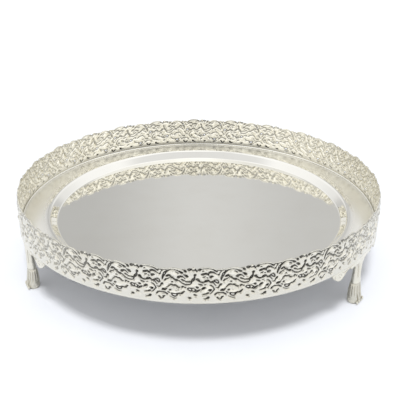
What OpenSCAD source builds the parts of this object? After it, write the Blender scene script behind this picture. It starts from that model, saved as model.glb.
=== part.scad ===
// Round offering plate with a pierced gallery, standing on three cast feet.
// Origin: centre of the plate, on the plane the feet stand on. +Z is up.
// Lengths are in millimetres, angles in degrees from +X, anticlockwise from above.

/* [Plate] */
// Outside diameter over the gallery
rim_d = 305; // [290:1:320]
// Height from the table to the top of the gallery
total_h = 69.5; // [66:0.5:74]
// Diameter of the flat well
well_d = 243; // [236:1:246]
// Diameter of the raised ring between well and flange
crest_d = 258.4; // [256:0.2:262]
// Depth of the well below the raised ring
well_depth = 6.3; // [5:0.1:7]
// Fall of the domed flange from the raised ring to its outer edge
flange_fall = 1.8; // [1:0.1:2.4]
// Thickness of the dish's sheet
sheet_t = 1; // [0.8:0.1:1.2]

/* [Gallery] */
// Height of the gallery wall
gallery_h = 28.3; // [24:0.1:32]
// Thickness of the gallery wall
gallery_t = 1.5; // [1.2:0.1:2]
// Width of the lip that the dish rests on
lip_w = 9.5; // [9.2:0.1:10.5]
// Drop of the lip's underside below the gallery's lower edge
lip_drop = 1.2; // [1:0.1:1.4]
// Motifs in each third of the gallery
motifs = 8; // [6:1:9]
// Diameter of the wire in the corner of flange and gallery
wire_d = 1.4; // [1:0.1:1.8]

/* [Feet] */
// Width of a foot's bracket between its outer ends
bracket_w = 82; // [76:1:84]
// Drop of the bracket's lobes below the gallery
lobe_drop = 7.2; // [5:0.1:8]
// Width of the leg at its waist
waist_w = 8.4; // [7:0.1:9]
// Width of the paw
paw_w = 13; // [11:0.1:14]
// Height of the paw
paw_h = 18.6; // [16:0.1:20]
// Depth of the paw, from front to back
paw_depth = 9.4; // [8:0.1:10]
// Thickness of the bracket plate
bracket_t = 1.6; // [1.4:0.1:1.8]

/* [Fixings] */
// Diameter of the studs under the flange
stud_d = 2.2; // [2:0.1:2.4]
// Height of a nut
nut_h = 1.6; // [1.4:0.1:1.8]
// Width of a nut across its flats
nut_af = 4; // [3.8:0.1:4.2]
// Outside diameter of a washer
washer_d = 5.2; // [4.8:0.1:5.4]
// Thickness of a washer
washer_t = 0.4; // [0.3:0.1:0.5]

/* [Hidden] */
$fn = 64;
fit = 0.02; // gap left between pieces that touch
rim_r = rim_d / 2;
wall_in_r = rim_r - gallery_t;
base_z = total_h - gallery_h; // lower edge of the gallery
seat_r = wall_in_r - 1; // inside of the wall's foot, which holds the dish
pan_r = seat_r - 0.1;
lip_in_r = wall_in_r - lip_w;
lip_t = 0.5; // lip thickness at the wall
lip_z = base_z - lip_drop; // underside of the lip
step_r = rim_r - bracket_t - 0.2; // the lip steps down inside the brackets
edge_z = lip_z + lip_t + fit + sheet_t; // top of the flange at its outer edge
crest_z = edge_z + flange_fall;
well_z = crest_z - well_depth;
ramp_w = (crest_d - well_d) / 2; // width of the slope between well and ring
well_bend = 1.2; // width of the slope's rounding at the well
crest_bend = 2.6; // width of its rounding at the ring
ramp_slope = well_depth / (ramp_w - well_bend / 2 - crest_bend / 2);
bay = 120; // one third of the plate, between two feet
seam_gap = 0.05; // gap between strips at each end, in degrees
motif = bay / motifs;
motif_w = motif * PI * rim_r / 180; // motif width along the wall
foot_angles = [90, 210, 330];
bay_angles = [270, 30, 150];
stud_r = (lip_in_r + wall_in_r) / 2 - 1.2; // radius of the circle of studs
stud_hole_r = stud_d / 2 + 0.3;
gallery_stud_angles = [for (b = bay_angles, s = [-30, 0, 30]) b + s];
foot_stud_step = 9.2; // from the foot's middle to each of its studs
foot_stud_angles = [for (f = foot_angles, s = [-1, 1]) f + s * foot_stud_step];
tab_t = 1.6; // thickness of the foot's fixing tab
bracket_gap = 0.06; // gap between the bracket and the gallery's lower edge
leg_top_z = lip_z - 0.3; // top of the leg, inside the bracket and tab
stud_end = 0.4; // stud showing below its nut
gallery_nut_z = lip_z - washer_t - 2 * fit; // upper face of a gallery nut
foot_nut_z = gallery_nut_z - tab_t; // upper face of a foot's nut
stud_top_z = pan_under(stud_r + stud_d / 2) - fit;

// Rise of the slope at x beyond the edge of the well
function ramp_rise(x) =
    x <= well_bend ? ramp_slope * x * x / (2 * well_bend)
    : x <= ramp_w - crest_bend ? ramp_slope * (x - well_bend / 2)
    : well_depth - ramp_slope * pow(ramp_w - x, 2) / (2 * crest_bend);

// Height of the dish's upper face at radius r
function pan_top(r) =
    r <= well_d / 2 ? well_z
    : r <= crest_d / 2 ? well_z + ramp_rise(r - well_d / 2)
    : crest_z - flange_fall * pow((r - crest_d / 2) / (pan_r - crest_d / 2), 2);

// Height of the dish's lower face at radius r
function pan_under(r) = pan_top(r) - sheet_t;

// Points of a quadratic curve from a to c, pulled towards b
function curve(a, b, c, steps = 8) = [for (i = [0:steps]) let (t = i / steps)
    (1 - t) * (1 - t) * a + 2 * t * (1 - t) * b + t * t * c];

// The same points on the other side of the middle line, in reverse order
function mirrored(points) = [for (i = [len(points) - 1:-1:0]) [-points[i][0], points[i][1]]];

// Places a flat outline (across, up) on the gallery wall and cuts or fills through it
module on_wall(angle, z, depth = 12)
    rotate([0, 0, angle])
        translate([rim_r - depth / 2, 0, z])
            rotate([90, 0, 90])
                linear_extrude(depth)
                    children();

// A part turned on the stud circle at height z
module at_stud(angle, z)
    rotate([0, 0, angle])
        translate([stud_r, 0, z])
            children();

// A pointed oval, w wide and h high
module leaf(w, h) {
    r = (w * w + h * h) / (4 * h);
    intersection() {
        translate([0, h / 2 - r]) circle(r);
        translate([0, r - h / 2]) circle(r);
    }
}

// A crescent with outer radius r, thickest by t on the side that it is turned to
module crescent(r, t)
    difference() {
        circle(r);
        translate([0, t]) circle(r * 1.02);
    }

// The openings in one motif. Each is at (fraction across, fraction up).
module motif_openings(start) {
    place(start, 0.77, 0.77) rotate(-62) crescent(5.2, 1.1);
    place(start, 0.14, 0.75) crescent(4.6, 1.2);
    place(start, 0.40, 0.74) rotate(8) crescent(4.2, 1);
    place(start, 0.60, 0.60) rotate(-10) leaf(5.4, 1.7);
    place(start, 0.24, 0.36) rotate(-4) leaf(8.4, 2.2);
    place(start, 0.91, 0.27) rotate(4) leaf(7, 1.7);
    place(start, 0.44, 0.81) rotate(-4) leaf(6.4, 1.5);
    place(start, 0.52, 0.37) circle(0.7);
    place(start, 0.17, 0.15) circle(0.6);
    place(start, 0.48, 0.16) circle(0.6);
}

// Puts an outline at (across, up) of the motif that starts at the angle start
module place(start, across, up)
    on_wall(start + motif * across, base_z + gallery_h * up)
        children();

// An arc of the scalloped edge: half as wide as half_w each side, its top at the fraction up
module scallop(start, across, half_w, up) {
    shoulder_z = gallery_h * 0.88;
    rise = gallery_h * up - shoulder_z;
    r = (half_w * half_w + rise * rise) / (2 * rise);
    on_wall(start + motif * across, base_z + gallery_h * up - r)
        circle(r);
}

// The scalloped edge of one motif
module motif_scallops(start) {
    scallop(start, 0.24, 2.8, 0.97);
    scallop(start, 0.49, 6.2, 1);
    scallop(start, 0.68, 2, 0.95);
    scallop(start, 0.755, 2, 0.96);
    scallop(start, 0.92, 6.2, 0.985);
}

// The wall and lip, revolved from one end of the bay to the other, up to the height top
module strip_section(top)
    rotate_extrude(angle = bay - 2 * seam_gap, $fn = 180)
        polygon([
            [rim_r, base_z],
            [rim_r, top],
            [wall_in_r, top],
            [wall_in_r, edge_z],
            [seat_r, edge_z],
            [seat_r, lip_z + lip_t],
            [lip_in_r, pan_under(lip_in_r) - fit],
            [lip_in_r, lip_z],
            [step_r, lip_z],
            [step_r, base_z]
        ]);

// The third of the gallery that spans the first bay
module gallery_strip() {
    first = bay_angles[0] - bay / 2;
    difference() {
        union() {
            rotate([0, 0, first + seam_gap])
                strip_section(base_z + gallery_h * 0.88);
            intersection() {
                rotate([0, 0, first + seam_gap])
                    rotate_extrude(angle = bay - 2 * seam_gap, $fn = 180)
                        translate([wall_in_r, base_z + gallery_h * 0.8])
                            square([gallery_t, gallery_h * 0.2]);
                union()
                    for (i = [-1:motifs])
                        motif_scallops(first + i * motif);
            }
        }
        for (i = [0:motifs - 1])
            motif_openings(first + i * motif);
        for (a = [-bay / 2 + foot_stud_step, -30, 0, 30, bay / 2 - foot_stud_step])
            at_stud(bay_angles[0] + a, lip_z - 1)
                cylinder(r = stud_hole_r, h = 4);
    }
}

// Spun dish: flat well, steep slope, raised ring and domed flange
module tray_pan()
    color([0.84, 0.84, 0.82]) {
        lower_bend = [for (i = [0:3]) well_d / 2 + well_bend * i / 3];
        upper_bend = [for (i = [0:5]) crest_d / 2 - crest_bend * (1 - i / 5)];
        flange = [for (i = [1:6]) crest_d / 2 + (pan_r - crest_d / 2) * i / 6];
        radii = concat(lower_bend, upper_bend, flange);
        rotate_extrude($fn = 180)
            polygon(concat(
                [[0, well_z]],
                [for (r = radii) [r, pan_top(r)]],
                [for (i = [len(radii) - 1:-1:0]) [radii[i], pan_under(radii[i])]],
                [[0, well_z - sheet_t]]
            ));
    }

// Wire laid in the corner of flange and gallery
module corner_wire()
    color([0.87, 0.86, 0.82]) {
        r = wall_in_r - wire_d / 2 - fit;
        rotate_extrude($fn = 180)
            translate([r, pan_top(r - wire_d / 2) + wire_d / 2 + fit])
                circle(d = wire_d, $fn = 32);
    }

module gallery_strip_front()
    color([0.86, 0.85, 0.8])
        gallery_strip();

module gallery_strip_right()
    color([0.86, 0.85, 0.8])
        rotate([0, 0, bay])
            gallery_strip();

module gallery_strip_left()
    color([0.86, 0.85, 0.8])
        rotate([0, 0, -bay])
            gallery_strip();

// Outline of the foot from the front, across and up
function foot_front() =
    let (
        half = concat(
            curve([paw_w / 2 - 0.8, 0], [paw_w / 2 + 0.4, paw_h * 0.3], [paw_w / 2 - 0.6, paw_h * 0.62]),
            curve([paw_w / 2 - 0.9, paw_h * 0.72], [paw_w / 2 - 1.6, paw_h], [waist_w / 2, paw_h + 2]),
            curve([waist_w / 2, paw_h + 5], [waist_w / 2 + 2, base_z - 6], [bracket_w * 0.23, leg_top_z])
        )
    )
    concat(half, mirrored(half));

// Outline of the foot from the side, outward and up
function foot_side() =
    let (
        front = rim_r - 0.2,
        back = front - paw_depth
    )
    concat(
        curve([front - 0.6, 0], [front + 0.2, paw_h * 0.35], [front - 0.8, paw_h * 0.7]),
        curve([front - 1.4, paw_h], [front - 3.4, paw_h + 8], [rim_r - 0.5, leg_top_z]),
        curve([rim_r - 3.4, leg_top_z], [back + 1.8, paw_h + 8], [back + 2.6, paw_h]),
        curve([back + 0.4, paw_h * 0.7], [back - 0.2, paw_h * 0.35], [back + 0.6, 0])
    );

// Outline of the bracket, across and up: two lobes with an arch between them over the leg
function bracket_front() =
    let (
        bar_z = base_z - 2.2,
        half = concat(
            [[-bracket_w / 2, base_z + 1]],
            curve(
                [-bracket_w / 2, bar_z],
                [-bracket_w * 0.45, base_z - lobe_drop * 0.7],
                [-bracket_w * 0.395, base_z - lobe_drop]
            ),
            curve(
                [-bracket_w * 0.375, base_z - lobe_drop],
                [-bracket_w * 0.3, base_z - lobe_drop * 0.7],
                [-bracket_w * 0.25, bar_z]
            )
        )
    )
    concat(half, mirrored(half));

// Bracket, curved to the gallery's radius
module bracket()
    intersection() {
        rotate([0, 0, 90 - 20])
            rotate_extrude(angle = 40, $fn = 180)
                translate([rim_r - bracket_t, base_z - lobe_drop - 1])
                    square([bracket_t, lobe_drop + 1 - bracket_gap]);
        on_wall(90, 0)
            polygon(bracket_front());
    }

// Leg and paw, shaped from the front and from the side
module leg()
    intersection() {
        translate([0, rim_r + 1, 0])
            rotate([90, 0, 0])
                linear_extrude(20)
                    polygon(foot_front());
        translate([-20, 0, 0])
            rotate([90, 0, 90])
                linear_extrude(40)
                    polygon(foot_side());
    }

// Toes along the front of the paw
module toes() {
    toe_r = paw_w / 7;
    for (side = [-1, 0, 1])
        translate([side * toe_r * 1.9, rim_r - toe_r, toe_r * 1.35])
            sphere(r = toe_r, $fn = 32);
}

// Tab that reaches under the gallery's lip and takes the two studs
module fixing_tab()
    difference() {
        rotate([0, 0, 90 - 1.25 * foot_stud_step])
            rotate_extrude(angle = 2.5 * foot_stud_step, $fn = 180)
                translate([lip_in_r, lip_z - tab_t])
                    square([rim_r - bracket_t / 2 - lip_in_r, tab_t - fit]);
        for (side = [-1, 1])
            at_stud(90 + side * foot_stud_step, lip_z - tab_t - 1)
                cylinder(r = stud_hole_r, h = tab_t + 2);
    }

// One cast foot, standing at the angle given
module foot(angle)
    color([0.85, 0.83, 0.76])
        rotate([0, 0, angle - 90])
            union() {
                bracket();
                leg();
                toes();
                fixing_tab();
            }

module foot_back() foot(foot_angles[0]);
module foot_left() foot(foot_angles[1]);
module foot_right() foot(foot_angles[2]);

// Studs at the given angles, from the flange down past a nut that ends at nut_z
module studs(angles, nut_z)
    color([0.72, 0.72, 0.7])
        for (a = angles)
            at_stud(a, nut_z - stud_end)
                cylinder(d = stud_d, h = stud_top_z - nut_z + stud_end);

// Washers at the given angles, with their upper faces at z
module washers(angles, z)
    color([0.72, 0.72, 0.7])
        for (a = angles)
            at_stud(a, z - washer_t - fit)
                difference() {
                    cylinder(d = washer_d, h = washer_t);
                    translate([0, 0, -1]) cylinder(r = stud_d / 2 + 0.15, h = washer_t + 2);
                }

// Hexagon nuts at the given angles, with their upper faces at z
module nuts(angles, z)
    color([0.72, 0.72, 0.7])
        for (a = angles)
            at_stud(a, z - nut_h)
                difference() {
                    cylinder(d = nut_af / cos(30), h = nut_h, $fn = 6);
                    translate([0, 0, -1]) cylinder(r = stud_d / 2 + fit, h = nut_h + 2);
                }

module gallery_studs() studs(gallery_stud_angles, gallery_nut_z - nut_h);
module gallery_washers() washers(gallery_stud_angles, lip_z);
module gallery_nuts() nuts(gallery_stud_angles, gallery_nut_z);
module foot_studs() studs(foot_stud_angles, foot_nut_z - nut_h);
module foot_washers() washers(foot_stud_angles, lip_z - tab_t);
module foot_nuts() nuts(foot_stud_angles, foot_nut_z);

tray_pan();
corner_wire();
gallery_strip_front();
gallery_strip_right();
gallery_strip_left();
foot_back();
foot_left();
foot_right();
gallery_studs();
gallery_washers();
gallery_nuts();
foot_studs();
foot_washers();
foot_nuts();
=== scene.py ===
"""Visual model of the galleried offering plate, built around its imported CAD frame."""

import math

import bmesh
import bpy
import numpy as np
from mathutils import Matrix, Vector


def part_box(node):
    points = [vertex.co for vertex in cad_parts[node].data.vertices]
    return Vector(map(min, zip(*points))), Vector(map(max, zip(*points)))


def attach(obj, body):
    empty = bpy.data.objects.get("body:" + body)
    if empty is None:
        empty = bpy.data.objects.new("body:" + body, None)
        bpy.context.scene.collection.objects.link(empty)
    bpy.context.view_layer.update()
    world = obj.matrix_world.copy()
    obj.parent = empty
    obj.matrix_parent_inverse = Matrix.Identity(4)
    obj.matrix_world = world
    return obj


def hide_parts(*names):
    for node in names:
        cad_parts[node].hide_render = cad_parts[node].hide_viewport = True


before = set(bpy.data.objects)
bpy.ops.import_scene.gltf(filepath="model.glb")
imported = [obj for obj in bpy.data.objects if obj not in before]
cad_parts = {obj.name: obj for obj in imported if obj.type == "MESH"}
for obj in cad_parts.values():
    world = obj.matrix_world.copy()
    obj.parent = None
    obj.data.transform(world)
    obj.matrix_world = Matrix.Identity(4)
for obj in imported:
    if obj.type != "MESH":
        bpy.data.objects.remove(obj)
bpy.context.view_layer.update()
MM = 0.001


def box_mm(node):
    """Lowest and highest corner of a CAD node in millimetres."""
    lo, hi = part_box(node)
    return np.array(lo) / MM, np.array(hi) / MM


# ---------------------------------------------------------------- measures, in millimetres
strip_lo, strip_hi = box_mm("gallery_strip_front")
pan_lo, pan_hi = box_mm("tray_pan")
wire_lo, wire_hi = box_mm("corner_wire")
RIM_R = -strip_lo[1]
WALL_H = 28.3
BASE_Z = strip_hi[2] - WALL_H  # lower edge of the gallery
LIP_Z = strip_lo[2]
LIP_IN_R = 141.5
SEAT_R = RIM_R - 2.5  # inside of the wall's foot, which holds the dish
BRACKET_T = 1.6
PAN_R = pan_hi[0]
SHEET_T = 1.0
WELL_R = 121.5
CREST_R = 129.2
WELL_BEND = 1.2
CREST_BEND = 2.6
FLANGE_FALL = 1.8
CREST_Z = pan_hi[2]
EDGE_Z = CREST_Z - FLANGE_FALL
WELL_Z = pan_lo[2] + SHEET_T
WELL_DEPTH = CREST_Z - WELL_Z
WIRE_D = wire_hi[2] - wire_lo[2]
WIRE_R = wire_hi[0] - WIRE_D / 2
WIRE_Z = (wire_lo[2] + wire_hi[2]) / 2
BAY = 120.0
MOTIFS = 8
MOTIF_W = math.radians(BAY / MOTIFS) * RIM_R
# The gallery's painted shade is deepest in this direction and the opposite one.
FRONT_ANGLE = math.radians(-80)  # direction in which the gallery's hollows are darkest
BAY_ANGLES = {"front": 270.0, "right": 30.0, "left": 150.0}
FOOT_ANGLES = {"back": 90.0, "left": 210.0, "right": 330.0}


# ---------------------------------------------------------------- small tools
def smooth(a, b, x):
    """0 below a, 1 above b, and a smooth step between."""
    t = np.clip((x - a) / (b - a), 0, 1)
    return t * t * (3 - 2 * t)


def round_rise(x, width):
    """A quarter-round rise from 0 at x = 0 to 1 at x = width."""
    t = 1 - np.clip(x / width, 0, 1)
    return 1 - t * t


def curve_through(points, step=0.15):
    """Points spaced about step apart along a smooth curve through the given points."""
    p = np.array(points, float)
    out = []
    for i in range(len(p) - 1):
        a, b, c, d = p[max(i - 1, 0)], p[i], p[i + 1], p[min(i + 2, len(p) - 1)]
        n = max(2, int(np.linalg.norm(c[:2] - b[:2]) / step))
        t = np.linspace(0, 1, n, endpoint=False)[:, None]
        out.append(
            0.5
            * (
                2 * b
                + (c - a) * t
                + (2 * a - 5 * b + 4 * c - d) * t**2
                + (3 * b - a - 3 * c + d) * t**3
            )
        )
    return np.vstack(out + [p[-1:]])


REACH = 4.0  # distances from strokes are measured up to about this far
FAR = 1e3  # stands for any greater distance


def stroke_distance(x, y, samples, period=None):
    """Distance from each grid point to the nearest edge of the strokes, negative inside them."""
    best = np.full(x.shape, FAR)
    shifts = (0,) if period is None else (-period, 0, period)
    for sx, sy, width in samples:
        for shift in shifts:
            px = sx + shift
            near = (np.abs(x - px) < REACH) & (np.abs(y - sy) < REACH)
            d = np.hypot(x[near] - px, y[near] - sy) - width / 2
            best[near] = np.minimum(best[near], d)
    return best


def sample(field, row, col):
    """The field's value between grid points."""
    r0 = np.clip(row.astype(int), 0, field.shape[0] - 2)
    c0 = np.clip(col.astype(int), 0, field.shape[1] - 2)
    fr, fc = row - r0, col - c0
    low = field[r0, c0] * (1 - fc) + field[r0, c0 + 1] * fc
    high = field[r0 + 1, c0] * (1 - fc) + field[r0 + 1, c0 + 1] * fc
    return low * (1 - fr) + high * fr


MIN_CUT = 0.04  # a cut stays this share of a cell away from the cell's corners


def cut_grid(keep):
    """The grid's cells where keep > 0, cut along keep = 0: corner places (row, col) and faces."""
    inside = keep > 0
    count = int(inside.sum())
    index = np.full(keep.shape, -1)
    index[inside] = np.arange(count)
    places = [np.argwhere(inside).astype(float)]

    def crossings(a, b, step):
        nonlocal count
        cut = (a > 0) != (b > 0)
        t = np.clip(a[cut] / (a[cut] - b[cut]), MIN_CUT, 1 - MIN_CUT)
        numbers = np.full(cut.shape, -1)
        numbers[cut] = count + np.arange(len(t))
        places.append(np.argwhere(cut) + t[:, None] * np.array(step))
        count += len(t)
        return numbers

    across = crossings(keep[:, :-1], keep[:, 1:], (0, 1))
    upward = crossings(keep[:-1], keep[1:], (1, 0))
    corners = np.stack([index[:-1, :-1], index[:-1, 1:], index[1:, 1:], index[1:, :-1]])
    whole = (corners >= 0).all(0)
    faces = corners[:, whole].T.tolist()
    for r, c in np.argwhere((corners >= 0).any(0) & ~whole):
        edges = (across[r, c], upward[r, c + 1], across[r + 1, c], upward[r, c])
        ring = []
        for corner, edge in zip(corners[:, r, c], edges):
            ring += [int(i) for i in (corner, edge) if i >= 0]
        faces.append(ring)
    return np.vstack(places), faces


def closed_sheet(faces, count):
    """Faces of the front, the back (count vertices later) and the walls that join their borders."""
    first, second = [], []
    for f in faces:
        first += f
        second += f[1:] + f[:1]
    a, b = np.array(first), np.array(second)
    key = np.minimum(a, b) * (count + 1) + np.maximum(a, b)
    _, where, times = np.unique(key, return_index=True, return_counts=True)
    border = where[times == 1]
    walls = np.stack([b[border], a[border], a[border] + count, b[border] + count], 1)
    back = [[i + count for i in reversed(f)] for f in faces]
    return faces + back + walls.tolist()


def new_object(name, verts, faces, recess=None, sharp_deg=None):
    """A mesh object from millimetre vertices, smooth shaded."""
    mesh = bpy.data.meshes.new(name)
    mesh.from_pydata((np.asarray(verts) * MM).tolist(), [], faces)
    mesh.update()
    if recess is not None:
        layer = mesh.attributes.new("recess", "FLOAT", "POINT")
        layer.data.foreach_set("value", np.asarray(recess, np.float32))
    mesh.polygons.foreach_set("use_smooth", [True] * len(mesh.polygons))
    if sharp_deg is not None:
        mesh.set_sharp_from_angle(angle=math.radians(sharp_deg))
    obj = bpy.data.objects.new(name, mesh)
    bpy.context.scene.collection.objects.link(obj)
    return obj


def join_parts(parts):
    """Vertices, faces and recess values of several meshes put together."""
    verts, faces, recess, base = [], [], [], 0
    for v, f, r in parts:
        verts.append(v)
        faces += [[i + base for i in face] for face in f]
        recess.append(r)
        base += len(v)
    return np.vstack(verts), faces, np.concatenate(recess)


def turned(verts, degrees):
    """Vertices turned about the vertical axis."""
    a = math.radians(degrees)
    x, y = verts[:, 0], verts[:, 1]
    return np.stack(
        [x * math.cos(a) - y * math.sin(a), x * math.sin(a) + y * math.cos(a), verts[:, 2]], 1
    )


def lathe(profile, segments, start=0.0, sweep=360.0):
    """A closed (r, z) outline revolved about the vertical axis. Points at r = 0 meet on the axis."""
    profile = np.array(profile, float)
    full = sweep >= 360
    steps = segments if full else segments + 1
    angles = np.radians(start + sweep * np.arange(steps) / segments)
    n = len(profile)
    verts = np.stack(
        [
            np.outer(np.cos(angles), profile[:, 0]).ravel(),
            np.outer(np.sin(angles), profile[:, 0]).ravel(),
            np.tile(profile[:, 1], steps),
        ],
        1,
    )
    faces = []
    for s in range(segments):
        a, b = s * n, ((s + 1) % steps) * n
        for i in range(n):
            j = (i + 1) % n
            if profile[i, 0] < 1e-6 and profile[j, 0] < 1e-6:
                continue
            faces.append([a + i, b + i, b + j, a + j])
    if not full:
        faces.append(list(range(n)))
        faces.append([segments * n + i for i in reversed(range(n))])
    return verts, faces


def clean(obj):
    """Merges doubled vertices and turns all faces outward."""
    bm = bmesh.new()
    bm.from_mesh(obj.data)
    bmesh.ops.remove_doubles(bm, verts=bm.verts, dist=1e-7)
    bmesh.ops.dissolve_degenerate(bm, edges=bm.edges, dist=1e-8)
    bmesh.ops.recalc_face_normals(bm, faces=bm.faces)
    bm.to_mesh(obj.data)
    bm.free()


# ---------------------------------------------------------------- materials
class Nodes:
    """Short calls for building a material's nodes."""

    def __init__(self, name):
        self.material = bpy.data.materials.new(name)
        self.material.use_nodes = True
        self.tree = self.material.node_tree
        self.shader = self.tree.nodes["Principled BSDF"]
        self.place = self.add("ShaderNodeTexCoord").outputs["Object"]

    def add(self, kind, **settings):
        node = self.tree.nodes.new(kind)
        for key, value in settings.items():
            setattr(node, key, value)
        return node

    def link(self, source, target):
        self.tree.links.new(source, target)

    def noise(self, scale, detail=4.0, stretch=None, turn=0.0):
        """Noise in object space; stretch squeezes the pattern along each axis."""
        mapping = self.add("ShaderNodeMapping")
        if stretch:
            mapping.inputs["Scale"].default_value = stretch
        mapping.inputs["Rotation"].default_value = (0, 0, turn)
        self.link(self.place, mapping.inputs["Vector"])
        noise = self.add("ShaderNodeTexNoise")
        noise.inputs["Scale"].default_value = scale
        noise.inputs["Detail"].default_value = detail
        self.link(mapping.outputs["Vector"], noise.inputs["Vector"])
        return noise.outputs["Fac"]

    def ramp(self, value, low, high, start=0.0, end=1.0):
        """Maps value from start..end to low..high, clamped."""
        node = self.add("ShaderNodeMapRange")
        self.link(value, node.inputs["Value"])
        for key, number in (("From Min", start), ("From Max", end), ("To Min", low), ("To Max", high)):
            node.inputs[key].default_value = number
        return node.outputs["Result"]

    def maths(self, operation, a, b):
        node = self.add("ShaderNodeMath", operation=operation)
        for socket, value in zip(node.inputs, (a, b)):
            if isinstance(value, (int, float)):
                socket.default_value = value
            else:
                self.link(value, socket)
        return node.outputs["Value"]

    def mix(self, factor, a, b):
        """Colour a to colour b by factor."""
        node = self.add("ShaderNodeMix", data_type="RGBA")
        sockets = [s for s in node.inputs if s.type == "RGBA"]
        self.link(factor, node.inputs["Factor"])
        for socket, value in zip(sockets, (a, b)):
            if isinstance(value, tuple):
                socket.default_value = (*value, 1)
            else:
                self.link(value, socket)
        return next(s for s in node.outputs if s.type == "RGBA")

    def radius(self):
        """Distance from the plate's axis."""
        flat = self.add("ShaderNodeVectorMath", operation="MULTIPLY")
        self.link(self.place, flat.inputs[0])
        flat.inputs[1].default_value = (1, 1, 0)
        length = self.add("ShaderNodeVectorMath", operation="LENGTH")
        self.link(flat.outputs["Vector"], length.inputs[0])
        return length.outputs["Value"]

    def bump(self, height, distance):
        node = self.add("ShaderNodeBump")
        node.inputs["Distance"].default_value = distance
        node.inputs["Strength"].default_value = 1.0
        self.link(height, node.inputs["Height"])
        self.link(node.outputs["Normal"], self.shader.inputs["Normal"])


def silver(name, colour, darkening, rough, wear, bump_mm, patina_and_shade=None, satin=None):
    """Silver plate with smudges and hairlines.

    Patina colours the hollows where the mesh has a recess value; on the gallery the same colour also
    paints shade. Satin is (from radius, to radius, roughness): the finish grows duller outwards between
    the two.
    """
    n = Nodes(name)
    smudge = n.noise(38.0, 5.0)
    hair_a = n.noise(900.0, 2.0, (1.0, 0.03, 1.0), 0.5)
    hair_b = n.noise(900.0, 2.0, (0.03, 1.0, 1.0), 0.2)
    hairs = n.ramp(n.maths("MAXIMUM", hair_a, hair_b), 0.0, 1.0, 0.62, 0.80)
    tint = n.mix(n.ramp(smudge, 0.0, 1.0, 0.40, 0.75), colour, darkening)
    roughness = n.ramp(smudge, rough, rough + wear, 0.35, 0.75)
    roughness = n.maths("ADD", roughness, n.maths("MULTIPLY", hairs, wear))
    if patina_and_shade:
        attribute = n.add("ShaderNodeAttribute", attribute_name="recess").outputs["Fac"]
        broken = n.ramp(n.noise(700.0, 3.0), 0.9, 1.0, 0.3, 0.6)
        depth = n.maths("MULTIPLY", attribute, broken)
        tint = n.mix(depth, tint, patina_and_shade)
        roughness = n.maths("ADD", roughness, n.maths("MULTIPLY", depth, 0.35))
    if satin:
        start, end, dull = satin
        roughness = n.maths("ADD", roughness, n.ramp(n.radius(), 0.0, dull, start * MM, end * MM))
    n.link(tint, n.shader.inputs["Base Color"])
    n.link(roughness, n.shader.inputs["Roughness"])
    n.shader.inputs["Metallic"].default_value = 1.0
    grain = n.noise(1400.0, 3.0)
    swell = n.noise(260.0, 2.0)
    n.bump(n.maths("ADD", n.maths("MULTIPLY", grain, 0.25), swell), bump_mm * MM)
    return n.material


def brushed(name, colour):
    """Nickel-plated steel with a fine turned grain."""
    n = Nodes(name)
    grain = n.noise(1500.0, 3.0, (1.0, 1.0, 0.1))
    darker = tuple(c * 0.8 for c in colour)
    tint = n.mix(n.ramp(grain, 0.0, 1.0, 0.3, 0.7), colour, darker)
    n.link(tint, n.shader.inputs["Base Color"])
    n.link(n.ramp(grain, 0.2, 0.42, 0.3, 0.7), n.shader.inputs["Roughness"])
    n.shader.inputs["Metallic"].default_value = 1.0
    n.bump(grain, 0.02 * MM)
    return n.material


MIRROR = {
    "colour": (0.945, 0.935, 0.89), "darkening": (0.925, 0.91, 0.86),
    "rough": 0.035, "wear": 0.03, "bump_mm": 0.004,
}
POLISHED = silver("polished_silver", **MIRROR)
DISH = silver("dish_silver", **MIRROR, satin=(CREST_R + 0.5, CREST_R + 4, 0.24))
# The gallery's patina colour also paints its shade, through the recess values set in strip_mesh.
GALLERY = silver(
    "gallery_silver", colour=(0.945, 0.92, 0.82), darkening=(0.92, 0.885, 0.77),
    rough=0.06, wear=0.06, bump_mm=0.05, patina_and_shade=(0.02, 0.018, 0.015),
)
CAST = silver(
    "cast_silver", colour=(0.77, 0.75, 0.66), darkening=(0.73, 0.695, 0.58),
    rough=0.16, wear=0.12, bump_mm=0.09, patina_and_shade=(0.16, 0.125, 0.06),
)
STEEL = brushed("fixing_steel", (0.72, 0.72, 0.70))


def finish_piece(obj, material, slot_name, *nodes):
    """Gives a piece its finish, fixes it to the plate and lets it stand for its CAD nodes."""
    obj.data.materials.append(material)
    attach(obj, "root")
    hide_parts(*nodes)


def soft_steel(part):
    """Gives a CAD fixing its steel and slightly rounded edges."""
    part.data.materials.clear()
    part.data.materials.append(STEEL)
    bevel = part.modifiers.new("soft_edges", "BEVEL")
    bevel.width = 0.12 * MM
    bevel.segments = 2
    bevel.angle_limit = math.radians(50)


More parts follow.
